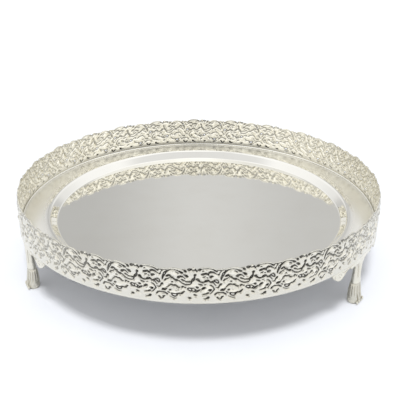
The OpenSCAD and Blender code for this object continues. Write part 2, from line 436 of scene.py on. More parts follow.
# ---------------------------------------------------------------- the gallery's scrollwork
# One motif, as strokes of (across, up, width). Across and up are shares of the motif's width and the
# wall's height; width is in millimetres. Wide PIERCED strokes go right through along their middle.
PIERCED = [
    [(0.14, 0.95, 0.8), (0.165, 0.94, 1.8), (0.195, 0.945, 0.9), (0.21, 0.955, 0.5)],
    [(0.31, 0.925, 0.5), (0.33, 0.935, 1.0), (0.345, 0.94, 1.6), (0.36, 0.95, 0.9), (0.375, 0.955, 0.4)],
    [
        (0.705, 0.65, 0.6), (0.712, 0.70, 1.1), (0.725, 0.75, 1.5), (0.745, 0.81, 1.8), (0.765, 0.85, 1.4),
        (0.79, 0.88, 1.1), (0.815, 0.905, 0.8), (0.84, 0.92, 0.5),
    ],
    [(0.995, 0.885, 0.8), (1.015, 0.87, 1.3), (1.035, 0.855, 1.4), (1.055, 0.845, 0.8)],
    [(0.07, 0.80, 0.4), (0.095, 0.785, 0.9), (0.115, 0.765, 1.6), (0.135, 0.75, 1.1), (0.145, 0.745, 0.5)],
    [(0.205, 0.62, 0.9), (0.22, 0.64, 1.5), (0.235, 0.665, 1.7), (0.25, 0.70, 1.2), (0.257, 0.74, 0.8)],
    [(0.255, 0.765, 0.8), (0.262, 0.79, 1.6), (0.275, 0.795, 0.9)],
    [(0.28, 0.675, 0.7), (0.305, 0.67, 1.5), (0.325, 0.64, 1.3), (0.345, 0.615, 0.9)],
    [(0.425, 0.605, 0.9), (0.455, 0.63, 1.7), (0.48, 0.64, 1.5), (0.50, 0.63, 0.7)],
    [(0.575, 0.62, 0.8), (0.60, 0.625, 1.6), (0.63, 0.61, 2.3), (0.65, 0.58, 1.6), (0.657, 0.565, 0.8)],
    [(0.375, 0.81, 0.9), (0.40, 0.815, 1.5), (0.44, 0.83, 1.2), (0.47, 0.815, 1.0), (0.49, 0.80, 0.8)],
    [(0.50, 0.845, 0.9), (0.52, 0.865, 1.3), (0.545, 0.87, 1.2), (0.575, 0.86, 1.0), (0.60, 0.835, 0.7)],
    [(0.515, 0.735, 0.8), (0.53, 0.74, 1.7), (0.55, 0.75, 1.1), (0.57, 0.75, 0.5)],
    [(0.135, 0.41, 0.8), (0.16, 0.40, 2.0), (0.185, 0.385, 2.3), (0.20, 0.365, 1.2)],
    [(0.255, 0.345, 0.8), (0.275, 0.345, 1.8), (0.30, 0.35, 1.3), (0.325, 0.37, 1.2), (0.345, 0.385, 0.6)],
    [(0.385, 0.40, 0.7), (0.40, 0.42, 1.3), (0.42, 0.435, 1.3), (0.435, 0.438, 0.6)],
    [(0.503, 0.365, 0.7), (0.52, 0.37, 1.7), (0.537, 0.38, 0.9)],
    [(0.465, 0.145, 0.8), (0.485, 0.16, 1.5), (0.50, 0.175, 0.6)],
    [(0.86, 0.265, 0.8), (0.885, 0.235, 1.9), (0.92, 0.22, 2.3), (0.95, 0.235, 1.4), (0.965, 0.26, 0.8)],
    [(0.775, 0.745, 0.7), (0.795, 0.752, 1.4), (0.815, 0.77, 1.0)],
    [(0.925, 0.65, 0.9), (0.952, 0.645, 1.6), (0.97, 0.645, 0.7)],
    [(0.967, 0.72, 0.7), (0.985, 0.725, 1.6), (1.005, 0.735, 0.9)],
    [(0.70, 0.355, 0.6), (0.72, 0.365, 1.5), (0.75, 0.36, 1.1), (0.765, 0.375, 0.7)],
    [(0.08, 0.925, 0.6), (0.092, 0.908, 1.6), (0.105, 0.89, 1.3), (0.115, 0.875, 0.5)],
    [(0.685, 0.505, 0.8), (0.698, 0.522, 1.4), (0.712, 0.525, 0.6)],
]
GROOVES = [
    [(0.215, 0.925, 0.5), (0.245, 0.925, 0.8), (0.275, 0.925, 1.0), (0.295, 0.895, 1.1)],
    [(0.262, 0.965, 0.4), (0.275, 0.945, 0.9), (0.285, 0.92, 1.0)],
    [
        (0.375, 0.955, 0.4), (0.42, 0.965, 0.4), (0.48, 0.97, 0.4), (0.53, 0.955, 0.5),
        (0.57, 0.935, 0.8), (0.60, 0.905, 1.1), (0.63, 0.88, 1.1),
    ],
    [(0.64, 0.90, 0.7), (0.66, 0.915, 0.5), (0.69, 0.91, 0.7), (0.705, 0.89, 1.1)],
    [(0.72, 0.905, 0.5), (0.75, 0.92, 0.4), (0.775, 0.905, 0.7), (0.79, 0.885, 0.9)],
    [(0.84, 0.92, 0.5), (0.88, 0.93, 0.4), (0.92, 0.925, 0.4), (0.96, 0.905, 0.6), (0.995, 0.885, 0.8)],
    [(0.045, 0.94, 0.3), (0.08, 0.925, 0.6)],
    [(-0.015, 0.74, 0.9), (0.02, 0.75, 1.1), (0.05, 0.745, 1.0), (0.075, 0.72, 0.6), (0.095, 0.69, 0.7)],
    [
        (0.03, 0.665, 0.6), (0.055, 0.65, 1.2), (0.08, 0.635, 0.8), (0.11, 0.61, 0.7),
        (0.15, 0.605, 0.8), (0.195, 0.605, 1.1), (0.21, 0.625, 1.2),
    ],
    [
        (-0.02, 0.635, 0.6), (0.0, 0.62, 0.8), (0.03, 0.58, 0.8), (0.06, 0.55, 0.8), (0.11, 0.525, 0.9),
        (0.16, 0.53, 0.8), (0.19, 0.55, 0.8), (0.205, 0.59, 1.0),
    ],
    [(0.345, 0.615, 0.9), (0.365, 0.595, 1.0), (0.40, 0.59, 0.9), (0.43, 0.6, 0.9)],
    [
        (0.50, 0.63, 0.7), (0.52, 0.595, 1.2), (0.55, 0.59, 1.3), (0.575, 0.57, 0.9), (0.60, 0.52, 0.7),
        (0.615, 0.495, 0.6),
    ],
    [(0.55, 0.60, 0.9), (0.575, 0.62, 0.9)],
    [(0.49, 0.80, 0.8), (0.50, 0.77, 0.6)],
    [(0.49, 0.82, 0.7), (0.50, 0.845, 0.9)],
    [(0.60, 0.835, 0.7), (0.63, 0.805, 0.5)],
    [(0.395, 0.735, 0.5), (0.415, 0.735, 0.9), (0.435, 0.75, 0.6)],
    [(0.455, 0.725, 0.3), (0.47, 0.715, 0.7), (0.485, 0.71, 0.4)],
    [(0.65, 0.79, 0.7), (0.665, 0.79, 1.2), (0.675, 0.81, 0.6), (0.685, 0.85, 0.5), (0.70, 0.87, 0.6)],
    [(0.385, 0.90, 0.5), (0.40, 0.905, 0.8), (0.412, 0.90, 0.4)],
    [
        (0.815, 0.77, 1.0), (0.84, 0.745, 1.1), (0.86, 0.71, 1.1), (0.88, 0.705, 1.2),
        (0.905, 0.67, 1.1), (0.93, 0.65, 1.1),
    ],
    [(0.74, 0.62, 0.7), (0.755, 0.63, 1.1), (0.775, 0.66, 0.9), (0.80, 0.67, 0.7), (0.83, 0.70, 0.7)],
    [(0.93, 0.87, 0.4), (0.95, 0.86, 0.8), (0.975, 0.835, 0.8), (0.985, 0.83, 0.4)],
    [(0.86, 0.59, 0.5), (0.88, 0.59, 0.9), (0.89, 0.588, 0.5)],
    [(0.185, 0.41, 1.2), (0.21, 0.42, 0.6), (0.235, 0.42, 0.5), (0.255, 0.405, 0.6), (0.27, 0.38, 1.2)],
    [(0.20, 0.365, 1.2), (0.225, 0.345, 0.7), (0.255, 0.345, 0.9)],
    [(0.285, 0.45, 0.8), (0.303, 0.447, 1.4), (0.315, 0.44, 0.8)],
    [(0.32, 0.545, 0.5), (0.35, 0.53, 1.1), (0.375, 0.522, 0.9), (0.392, 0.515, 0.5)],
    [(0.04, 0.44, 0.9), (0.05, 0.465, 1.2), (0.065, 0.47, 0.8), (0.085, 0.45, 0.7), (0.10, 0.445, 1.0)],
    [(-0.02, 0.27, 0.6), (0.02, 0.265, 0.9), (0.045, 0.285, 1.3), (0.065, 0.31, 1.0), (0.08, 0.33, 0.7)],
    [(0.145, 0.155, 0.5), (0.17, 0.15, 1.3), (0.195, 0.145, 0.5)],
    [(0.24, 0.25, 0.6), (0.26, 0.24, 1.2), (0.285, 0.225, 0.7)],
    [(0.365, 0.37, 0.4), (0.385, 0.40, 0.7)],
    [
        (0.515, 0.51, 0.5), (0.54, 0.495, 0.9), (0.56, 0.47, 0.8), (0.575, 0.44, 0.8),
        (0.585, 0.41, 1.0), (0.59, 0.385, 0.9), (0.57, 0.35, 0.8), (0.55, 0.31, 0.8), (0.53, 0.28, 0.7),
        (0.515, 0.275, 0.4),
    ],
    [(0.385, 0.245, 0.3), (0.42, 0.26, 0.7), (0.46, 0.27, 0.9), (0.485, 0.29, 1.2), (0.50, 0.30, 0.6)],
    [(0.41, 0.13, 0.3), (0.44, 0.125, 0.7), (0.465, 0.145, 0.9)],
    [
        (0.60, 0.235, 0.8), (0.61, 0.25, 1.2), (0.63, 0.28, 0.8), (0.66, 0.29, 0.8), (0.70, 0.29, 0.8),
        (0.74, 0.285, 1.0), (0.77, 0.26, 1.1), (0.785, 0.245, 1.2), (0.80, 0.24, 0.5),
    ],
    [
        (0.635, 0.165, 0.7), (0.65, 0.145, 1.0), (0.67, 0.115, 0.8), (0.69, 0.11, 0.7),
        (0.71, 0.13, 0.9), (0.725, 0.17, 1.1), (0.745, 0.18, 0.7),
    ],
    [(0.765, 0.375, 0.7), (0.775, 0.39, 0.9), (0.785, 0.40, 0.6)],
    [
        (0.79, 0.43, 0.5), (0.81, 0.46, 0.7), (0.83, 0.49, 0.8), (0.86, 0.515, 1.1), (0.89, 0.50, 0.9),
        (0.93, 0.495, 1.0), (0.96, 0.46, 1.0), (0.985, 0.44, 0.9), (1.01, 0.44, 0.5),
    ],
    [(0.82, 0.355, 0.6), (0.838, 0.36, 1.2), (0.853, 0.365, 0.6)],
    [(0.795, 0.31, 0.5), (0.81, 0.295, 0.9), (0.83, 0.285, 0.4)],
    [(0.965, 0.26, 0.8), (0.985, 0.27, 0.9), (1.0, 0.275, 0.7)],
    [(0.83, 0.19, 0.3), (0.87, 0.16, 0.5), (0.91, 0.135, 0.6), (0.95, 0.14, 0.3)],
    [(0.64, 0.43, 0.5), (0.66, 0.44, 1.0), (0.675, 0.475, 0.8), (0.685, 0.505, 0.9)],
    [(0.61, 0.45, 0.3), (0.635, 0.435, 0.6)],
    [(0.42, 0.53, 0.3), (0.44, 0.535, 0.5), (0.455, 0.54, 0.3)],
]
# Fine shallow lines: leaf veins and stems
VEINS = [
    [(0.03, 0.80, 0.3), (0.06, 0.775, 0.4), (0.09, 0.745, 0.3)],
    [(0.115, 0.71, 0.3), (0.15, 0.70, 0.4), (0.19, 0.72, 0.4), (0.215, 0.77, 0.3)],
    [(0.13, 0.66, 0.3), (0.16, 0.65, 0.4), (0.19, 0.66, 0.3)],
    [(0.15, 0.80, 0.3), (0.175, 0.83, 0.4), (0.21, 0.85, 0.4), (0.24, 0.845, 0.3)],
    [(0.16, 0.87, 0.3), (0.19, 0.885, 0.4), (0.22, 0.88, 0.3)],
    [(0.33, 0.87, 0.3), (0.36, 0.86, 0.4), (0.39, 0.865, 0.3)],
    [(0.42, 0.895, 0.3), (0.45, 0.91, 0.4), (0.49, 0.915, 0.4), (0.53, 0.91, 0.3)],
    [(0.30, 0.77, 0.3), (0.33, 0.72, 0.4), (0.37, 0.67, 0.4), (0.41, 0.66, 0.3)],
    [(0.31, 0.82, 0.3), (0.335, 0.77, 0.4), (0.365, 0.73, 0.3)],
    [(0.55, 0.80, 0.3), (0.58, 0.78, 0.4), (0.62, 0.74, 0.4), (0.65, 0.70, 0.3)],
    [(0.59, 0.70, 0.3), (0.62, 0.68, 0.4), (0.66, 0.65, 0.3)],
    [(0.80, 0.83, 0.3), (0.84, 0.85, 0.4), (0.88, 0.86, 0.3)],
    [(0.82, 0.80, 0.3), (0.86, 0.80, 0.4), (0.90, 0.79, 0.4), (0.94, 0.76, 0.3)],
    [(0.88, 0.75, 0.3), (0.91, 0.74, 0.4), (0.94, 0.71, 0.3)],
    [(0.67, 0.58, 0.3), (0.675, 0.64, 0.4), (0.685, 0.72, 0.4), (0.70, 0.80, 0.3)],
    [(0.77, 0.57, 0.3), (0.81, 0.59, 0.4), (0.84, 0.62, 0.3)],
    [(0.90, 0.59, 0.3), (0.94, 0.58, 0.4), (0.985, 0.55, 0.4), (1.02, 0.52, 0.3)],
    [(0.87, 0.44, 0.3), (0.90, 0.45, 0.4), (0.94, 0.43, 0.3)],
    [(0.88, 0.385, 0.3), (0.92, 0.39, 0.4), (0.96, 0.38, 0.3)],
    [(0.21, 0.49, 0.3), (0.25, 0.48, 0.4), (0.29, 0.49, 0.3)],
    [(0.12, 0.29, 0.3), (0.15, 0.27, 0.4), (0.19, 0.28, 0.3)],
    [(0.20, 0.30, 0.3), (0.24, 0.29, 0.3), (0.29, 0.295, 0.3)],
    [(0.31, 0.18, 0.3), (0.34, 0.20, 0.4), (0.37, 0.19, 0.3)],
    [(0.52, 0.22, 0.3), (0.55, 0.20, 0.4), (0.57, 0.17, 0.3)],
    [(0.66, 0.36, 0.3), (0.65, 0.40, 0.3)],
    [(0.655, 0.235, 0.3), (0.69, 0.225, 0.4), (0.73, 0.235, 0.3)],
]
# Rounded bosses: across, up, half width and half height in millimetres, turn in degrees, height
BOSSES = [
    (0.455, 0.365, 1.5, 3.4, -16, 0.75),
    (0.492, 0.455, 1.6, 1.5, 0, 0.6),
    (0.535, 0.425, 1.4, 1.3, 0, 0.5),
    (0.748, 0.465, 2.6, 1.5, 18, 0.7),
    (0.925, 0.325, 3.4, 1.6, 2, 0.6),
    (0.255, 0.515, 3.4, 1.3, 4, 0.5),
    (0.15, 0.70, 3.2, 2.0, 0, 0.45),
    (0.87, 0.83, 4.0, 2.2, -6, 0.5),
    (0.46, 0.915, 4.4, 1.4, 3, 0.4),
    (0.34, 0.74, 2.0, 3.0, 30, 0.4),
    (0.60, 0.76, 2.6, 1.6, -28, 0.4),
    (0.81, 0.58, 3.0, 1.2, 16, 0.45),
    (0.97, 0.56, 2.4, 1.1, -20, 0.4),
    (0.245, 0.965, 1.4, 0.8, 0, 0.35),
    (0.69, 0.73, 1.0, 3.2, -10, 0.45),
    (0.695, 0.21, 1.6, 1.1, 0, 0.4),
    (0.23, 0.39, 1.3, 0.5, -6, 0.35),
    (0.07, 0.395, 2.0, 1.4, 0, 0.35),
    (0.36, 0.46, 1.2, 1.4, 0, 0.35),
    (0.62, 0.37, 1.6, 1.4, 0, 0.3),
]
# Scalloped top edge: where each arc starts, its height there and at its top
SCALLOPS = [
    (0.03, 0.915, 0.952),
    (0.125, 0.935, 0.972),
    (0.205, 0.955, 0.992),
    (0.292, 0.915, 1.0),
    (0.635, 0.905, 0.945),
    (0.71, 0.915, 0.957),
    (0.79, 0.91, 0.972),
    (1.03, 0.915, 0.952),
]
HOLE_IN = 0.7  # how far inside a pierced stroke's edge its hole begins
COLS_PER_MOTIF, ROWS = 120, 86
GRID_H = WALL_H * 1.012  # the grid reaches a little above the highest scallop
# DULL is partly tarnish and partly painted shade: the outer face keeps it, the inner face does not.
DULL = 0.17  # tarnish of the wall where it isn't rubbed bright
SHOULDER = 1.9  # width of the rounded rise beside a groove


def top_edge():
    """The scalloped edge of one motif as points, in millimetres."""
    points = []
    for (u0, v0, top), (u1, v1, _) in zip(SCALLOPS, SCALLOPS[1:]):
        t = np.linspace(0, 1, 60, endpoint=False)
        v = v0 + (v1 - v0) * t + (top - (v0 + v1) / 2) * (4 * t * (1 - t)) ** 0.6
        points.append(np.stack([(u0 + (u1 - u0) * t) * MOTIF_W, v * WALL_H], 1))
    return np.vstack(points)


def below_top(x, y):
    """Distance below the scalloped edge, negative above it."""
    edge = top_edge()
    column = np.mod(edge[:, 0], MOTIF_W)
    order = np.argsort(column)
    height = np.interp(x[0], column[order], edge[order, 1], period=MOTIF_W)
    far = stroke_distance(x, y, np.column_stack([edge, np.zeros(len(edge))]), MOTIF_W)
    return np.where(y < height[None, :], 1, -1) * np.minimum(far, REACH)


def boss_heights(x, y):
    """Height of the rounded bosses over the motif's grid."""
    bosses = np.zeros_like(x)
    for u, v, a, b, turn, rise in BOSSES:
        dx = np.mod(x - u * MOTIF_W + MOTIF_W / 2, MOTIF_W) - MOTIF_W / 2
        dy = y - v * WALL_H
        c, s = math.cos(math.radians(turn)), math.sin(math.radians(turn))
        q = ((dx * c + dy * s) / a) ** 2 + ((dy * c - dx * s) / b) ** 2
        bosses += rise * np.clip(1 - q / 2.2, 0, 1) ** 2
    return bosses


def motif_fields():
    """Fields of one motif on its grid.

    They are: where metal is kept, the relief outside and inside, and the tarnish outside and inside,
    with painted shade at the inner wall's foot.
    """
    x = np.arange(COLS_PER_MOTIF) * MOTIF_W / COLS_PER_MOTIF
    y = np.arange(ROWS + 1) * GRID_H / ROWS
    x, y = np.meshgrid(x, y)
    scale = np.array([MOTIF_W, WALL_H, 1])

    def distance(strokes):
        samples = np.vstack([curve_through(np.array(s) * scale) for s in strokes])
        return stroke_distance(x, y, samples, MOTIF_W)

    pierced = distance(PIERCED)
    grooves = np.minimum(pierced, distance(GROOVES))
    veins = distance(VEINS)
    top = below_top(x, y)
    keep = np.minimum(pierced + HOLE_IN, top)

    # Relief: metal swells between the grooves and thins towards the scalloped edge. The wall's foot
    # is a plain band, rounded below.
    bosses = boss_heights(x, y)
    pillow = round_rise(grooves, SHOULDER) * (0.25 + 0.75 * round_rise(top, 1.0))
    deep = smooth(0.0, 0.4, -grooves)
    vein = 1 - smooth(0.0, 0.35, veins)
    plain = 1 - smooth(1.6, 2.6, y)
    lower_round = 1 - round_rise(y, 0.7)
    outer = -0.12 + 0.9 * pillow - 0.15 * deep - 0.22 * vein * pillow + bosses * pillow
    outer = outer * (1 - plain) + 0.62 * plain - 0.4 * lower_round
    inner = -0.02 + 0.65 * pillow - 0.05 * deep - 0.12 * vein * pillow + 0.45 * bosses * pillow
    quiet = 1 - smooth(2.0, 2.8, y)
    inner = inner * (1 - quiet) + 0.5 * quiet

    # Tarnish: full in the grooves, slight in the veins, and on the wall a slight tarnish with painted
    # shade, rubbed off the bosses.
    recess = np.maximum(1 - smooth(0.0, 0.4, pierced), 1 - smooth(-0.1, 0.25, grooves))
    rubbed = np.clip(bosses / 0.5, 0, 1)
    recess = np.maximum(recess, np.maximum(0.2 * vein, DULL * (1 - rubbed)))
    recess *= 1 - 0.25 * plain
    # Inside, the slight tarnish and painted shade of the whole wall are left out, and painted shade makes
    # it stronger towards the wall's foot, where the flange reflects it.
    low = 1 - smooth(4.0, 8.0, y)
    recess_in = np.clip(recess - DULL, 0, 1) * (1 + 0.5 * low) + 0.65 * (1 - smooth(3.0, 5.5, y))
    return keep, outer, inner, recess, recess_in


MIDDLE_R = RIM_R - 0.75  # middle of the wall's thickness
CORE = 0.25  # half the sheet's thickness where the relief is zero
END_GAP = 0.02  # degrees left free at each end of a strip
motif = motif_fields()


def strip_mesh(middle):
    """The wall and lip of one third of the gallery."""
    keep, outer, inner, recess, recess_in = (
        np.hstack([f] * MOTIFS + [f[:, :1]]) for f in motif
    )
    places, faces = cut_grid(keep)
    row, col = places[:, 0], places[:, 1]
    z = BASE_Z + row * GRID_H / ROWS
    first = middle - BAY / 2
    along = np.clip(col * BAY / MOTIFS / COLS_PER_MOTIF, END_GAP, BAY - END_GAP)
    angle = np.radians(first + along)
    r_out = MIDDLE_R + CORE + sample(outer, row, col)
    r_in = MIDDLE_R - CORE - sample(inner, row, col)
    sheets = [np.stack([r * np.cos(angle), r * np.sin(angle), z], 1) for r in (r_out, r_in)]
    # Painted shade: the tarnish of the hollows is deepened with painted shade at the front and the back
    # and is weaker at the sides; the outer face also gets painted shade all over, which the inner face
    # lacks.
    dark = smooth(0.55, 0.98, np.abs(np.cos(angle - FRONT_ANGLE)))
    darkening = [
        0.18 - 0.05 * dark + sample(recess, row, col) * (0.38 + 0.49 * dark),
        sample(recess_in, row, col) * (0.34 + 0.5 * dark),
    ]
    wall = (np.vstack(sheets), closed_sheet(faces, len(places)), np.concatenate(darkening))
    chamfer = 0.2
    bracket_in = RIM_R - BRACKET_T - 0.2  # just inside the feet's brackets
    in_wall = RIM_R - 0.9  # inside the wall's metal
    lip_verts, lip_faces = lathe(
        [
            (LIP_IN_R + chamfer, LIP_Z), (bracket_in, LIP_Z), (bracket_in, BASE_Z),
            (in_wall, BASE_Z), (in_wall, EDGE_Z), (SEAT_R, EDGE_Z), (SEAT_R, LIP_Z + 0.5),
            (LIP_IN_R, LIP_Z + 1.6), (LIP_IN_R, LIP_Z + chamfer),
        ],
        180, first + END_GAP, BAY - 2 * END_GAP,
    )
    lip_faces = [list(reversed(f)) for f in lip_faces]
    return join_parts([wall, (lip_verts, lip_faces, np.zeros(len(lip_verts)))])


for side, middle in BAY_ANGLES.items():
    verts, faces, darkening = strip_mesh(middle)
    strip = new_object(f"gallery_{side}", verts, faces, darkening)
    finish_piece(strip, GALLERY, "gallery_silver", f"gallery_strip_{side}")


# ---------------------------------------------------------------- dish and wire
def pan_height(r):
    """Height of the dish's upper face."""
    if r <= WELL_R:
        return WELL_Z
    if r <= CREST_R:
        x, width = r - WELL_R, CREST_R - WELL_R
        steepest = WELL_DEPTH / (width - WELL_BEND / 2 - CREST_BEND / 2)
        if x < WELL_BEND:
            return WELL_Z + steepest * x * x / (2 * WELL_BEND)
        if x < width - CREST_BEND:
            return WELL_Z + steepest * (x - WELL_BEND / 2)
        return CREST_Z - steepest * (width - x) ** 2 / (2 * CREST_BEND)
    return CREST_Z - FLANGE_FALL * ((r - CREST_R) / (PAN_R - CREST_R)) ** 2


# A few rings over the flat well, many over the slope and a good number over the flange
radii = [0, 30, 60, 90, 110, 118] + list(np.linspace(WELL_R, CREST_R, 52))
radii += list(np.linspace(CREST_R + 1, PAN_R, 22))
upper = [(r, pan_height(r)) for r in radii]
lower = [(r, z - SHEET_T) for r, z in reversed(upper)]
pan_verts, pan_faces = lathe(upper + lower, 360)
pan = new_object("dish", pan_verts, pan_faces)
clean(pan)
pan.data.set_sharp_from_angle(angle=math.radians(50))
finish_piece(pan, DISH, "polished_silver", "tray_pan")

ring = [
    (WIRE_R + WIRE_D / 2 * math.cos(a), WIRE_Z + WIRE_D / 2 * math.sin(a))
    for a in np.linspace(0, 2 * math.pi, 20, endpoint=False)
]
wire = new_object("wire", *lathe(ring, 400))
clean(wire)
finish_piece(wire, POLISHED, "polished_silver", "corner_wire")


# ---------------------------------------------------------------- feet
def bend(across, radius, z):
    """Turns (across, radius, height) beside the foot at +Y into positions."""
    a = across / RIM_R
    return np.stack([radius * np.sin(a), radius * np.cos(a), z], 1)


BRACKET_HALF = 41.0
# Edge of the bracket's right half: across from its middle, and up from the gallery's lower edge
BRACKET = [
    (BRACKET_HALF, 0.6), (BRACKET_HALF, -1.3), (39.8, -3.0), (37.8, -4.8), (35.6, -6.3),
    (33.4, -7.3), (31.4, -7.5), (29.8, -6.9), (28.2, -5.8), (26.4, -4.5), (24.4, -3.3),
    (22.4, -2.4), (20.4, -2.1), (18.4, -2.8), (16.4, -4.4),
]


def bracket_part():
    """Curved bracket plate with a raised border and a shallow scroll on each lobe."""
    step = 0.33
    overlap = 0.25  # how far the plate's top reaches up over the gallery's rounded foot
    reach, lowest, highest = 42.57, -8.6, 0.4
    x = np.arange(-reach, reach + 0.01, step)
    y = np.arange(lowest, highest + 0.01, step)
    x, y = np.meshgrid(x, y)
    edge = curve_through([(a, b, 0) for a, b in BRACKET], 0.12)
    both = np.vstack([edge, edge * np.array([-1, 1, 1])])
    far = stroke_distance(x, y, both)
    order = np.argsort(edge[:, 0])
    behind_leg, none = -3.4, 9.0
    low = np.interp(np.abs(x), edge[order, 0], edge[order, 1], left=behind_leg, right=none)
    keep = np.where((y > low) & (np.abs(x) < BRACKET_HALF), 1, -1) * np.minimum(far, 3)
    keep = np.minimum(keep, overlap - y)
    lobe_x, lobe_y = 32.4, -3.6
    spiral = [
        (
            lobe_x + (2.6 - 0.29 * t) * math.cos(t + 0.4),
            lobe_y + (2.3 - 0.26 * t) * math.sin(t + 0.4),
            0.35,
        )
        for t in np.linspace(0, 7.2, 26)
    ]
    sprays = [
        [(29.4, -1.3, 0.3), (27.2, -2.2, 0.6), (25.0, -2.3, 0.4), (23.0, -1.5, 0.3)],
        [(37.2, -1.3, 0.3), (38.2, -2.2, 0.5), (37.5, -3.4, 0.3)],
        [(21.0, -1.0, 0.3), (17.4, -0.9, 0.5), (14.0, -1.3, 0.3)],
    ]
    cuts = np.vstack([curve_through(c, 0.12) for c in [spiral] + sprays])
    cuts = np.vstack([cuts, cuts * np.array([-1, 1, 1])])
    groove = stroke_distance(x, y, cuts)
    border = smooth(1.3, 0.7, far) * smooth(0, 0.6, far)
    relief = 0.25 * round_rise(groove, 1.4) + 0.35 * border - 0.1 * smooth(0, 0.3, -groove)
    relief -= 0.35 * (1 - round_rise(far, 0.5))
    places, faces = cut_grid(keep)
    row, col = places[:, 0], places[:, 1]
    across, z = x[0, 0] + col * step, BASE_Z + y[0, 0] + row * step
    out = bend(across, RIM_R - 0.25 + sample(relief, row, col), z)
    back = bend(across, RIM_R - BRACKET_T + 0.3 * (1 - round_rise(sample(far, row, col), 0.6)), z)
    darkening = sample(0.3 * (1 - smooth(-0.1, 0.25, groove)), row, col)
    faces = [list(reversed(f)) for f in faces]
    return np.vstack([out, back]), closed_sheet(faces, len(places)), np.concatenate([darkening, darkening * 0])


TOE_R = 154.3  # how far the toes reach from the plate's axis
TOE_GAPS = (-3.3, 0.0, 3.3)
CLAWS = (-4.75, -1.65, 1.65, 4.75)
LEG = np.array([
    # height, half width, front radius, back radius
    (0.0, 5.6, 153.2, 145.2),
    (0.5, 6.0, 153.8, 144.6),
    (2.0, 6.4, TOE_R, 144.2),
    (4.0, 6.4, TOE_R, 144.1),
    (7.0, 6.2, 154.0, 144.1),
    (10.0, 6.0, 153.6, 144.3),
    (13.0, 5.7, 153.2, 144.6),
    (15.5, 5.3, 152.9, 145.0),
    (16.8, 4.9, 152.7, 145.4),
    (18.0, 4.8, 152.8, 145.6),
    (20.0, 4.6, 152.6, 145.8),
    (24.0, 4.5, 152.4, 146.2),
    (28.0, 4.8, 152.3, 146.6),
    (31.5, 5.8, 152.4, 147.2),
    (34.5, 7.9, 152.5, 148.2),
    (36.8, 11.4, 152.6, 149.2),
    (38.2, 15.2, 152.5, 149.9),
    (39.2, 18.6, 152.45, 150.3),
    (39.7, 19.4, 152.3, 150.5),
])


def leg_part():
    """Leg and paw: rounded sections up the leg, with toes, fur folds, a cuff and flutes."""
    heights = np.unique(np.concatenate([np.arange(0, 39.6, 0.3), LEG[:, 0]]))
    around = 112
    t = np.arange(around) * 2 * math.pi / around
    power = 2 / 2.2  # sections a little squarer than an ellipse
    cx = np.sign(np.cos(t)) * np.abs(np.cos(t)) ** power
    cy = np.sign(np.sin(t)) * np.abs(np.sin(t)) ** power
    widths = [np.interp(heights, LEG[:, 0], LEG[:, i]) for i in (1, 2, 3)]
    kernel = np.array([1, 2, 3, 2, 1]) / 9
    half, front, back = (
        np.convolve(np.pad(v, 2, mode="edge"), kernel, mode="valid") for v in widths
    )
    h = heights[:, None]
    across = half[:, None] * cx[None, :]
    middle, depth = ((front + back) / 2)[:, None], ((front - back) / 2)[:, None]
    radius = middle + depth * cy[None, :]
    forward = np.clip(cy, 0, 1)[None, :]
    share = across / np.maximum(half[:, None], 1e-6)
    darkening = np.zeros_like(across)
    for x0 in TOE_GAPS:
        gap = np.exp(-(((across - x0 * half[:, None] / 6.3) / 0.42) ** 2))
        gap *= smooth(9.5, 5.5, h) * smooth(-0.4, 0.8, h)
        radius -= 1.1 * gap * forward
        darkening += gap * forward
    toes = smooth(6.5, 3.5, h) * forward * 0.7 * np.abs(np.cos(share * math.pi * 1.93))
    radius += toes
    folds = 13
    fur = (0.5 + 0.5 * np.cos(folds * t[None, :])) ** 3 * smooth(5.0, 9.0, h) * smooth(17.5, 14.5, h)
    across *= 1 - 0.06 * fur
    radius = middle + (radius - middle) * (1 - 0.06 * fur)
    darkening += 0.35 * fur
    cuff = np.exp(-(((h - 17.2) / 0.6) ** 2))
    across -= 0.2 * cuff * cx[None, :]
    radius -= 0.2 * cuff * cy[None, :]
    # The cuff's groove and the whole paw below it are darker.
    darkening += 0.25 * cuff + 0.2 * smooth(19.0, 15.0, h)
    # Two flutes and a spine run up the leg's front.
    for side in (-1, 1):
        flute = np.exp(-(((share - side * 0.62) / 0.13) ** 2))
        flute = flute * smooth(21.5, 24.5, h) * smooth(40.5, 37.5, h)
        radius -= 0.45 * flute * forward
        darkening += 0.45 * flute * forward
    spine = np.exp(-((share / 0.2) ** 2)) * smooth(21.5, 25, h) * smooth(39, 34, h)
    radius += 0.3 * spine * forward
    verts = bend(across.ravel(), radius.ravel(), np.repeat(heights, around))
    faces = []
    for i in range(len(heights) - 1):
        for j in range(around):
            k = (j + 1) % around
            a, b = i * around, (i + 1) * around
            faces.append([a + k, a + j, b + j, b + k])
    faces.append(list(range(around)))
    faces.append([(len(heights) - 1) * around + j for j in reversed(range(around))])
    return verts, faces, np.clip(darkening.ravel(), 0, 1)


def claw_part(x0):
    """A claw at the tip of one toe."""
    rings, around = 14, 20
    middle_z, half_h = 1.7, 1.55
    verts, faces = [], []
    for i in range(rings + 1):
        p = math.pi * i / rings
        for j in range(around):
            q = 2 * math.pi * j / around
            x = x0 + 0.75 * math.sin(p) * math.cos(q) * (1 - 0.35 * math.cos(p))
            r = TOE_R + 0.8 * math.sin(p) * math.sin(q) - 0.3 * math.cos(p)
            verts.append((x, r, middle_z + half_h * math.cos(p)))
    v = np.array(verts)
    for i in range(rings):
        for j in range(around):
            k = (j + 1) % around
            a, b = i * around, (i + 1) * around
            faces.append([a + j, a + k, b + k, b + j])
    return bend(v[:, 0], v[:, 1], v[:, 2]), faces, np.zeros(len(v))


def tab_part():
    """Tab under the gallery's lip that takes the two studs."""
    top, bottom = LIP_Z - 0.02, LIP_Z - 1.6
    sweep = 23.0
    verts, faces = lathe(
        [
            (LIP_IN_R + 0.3, bottom), (RIM_R - 1.2, bottom), (RIM_R - 1.2, top),
            (LIP_IN_R, top), (LIP_IN_R, bottom + 0.3),
        ],
        40, 90 - sweep / 2, sweep,
    )
    return verts, faces, np.zeros(len(verts))


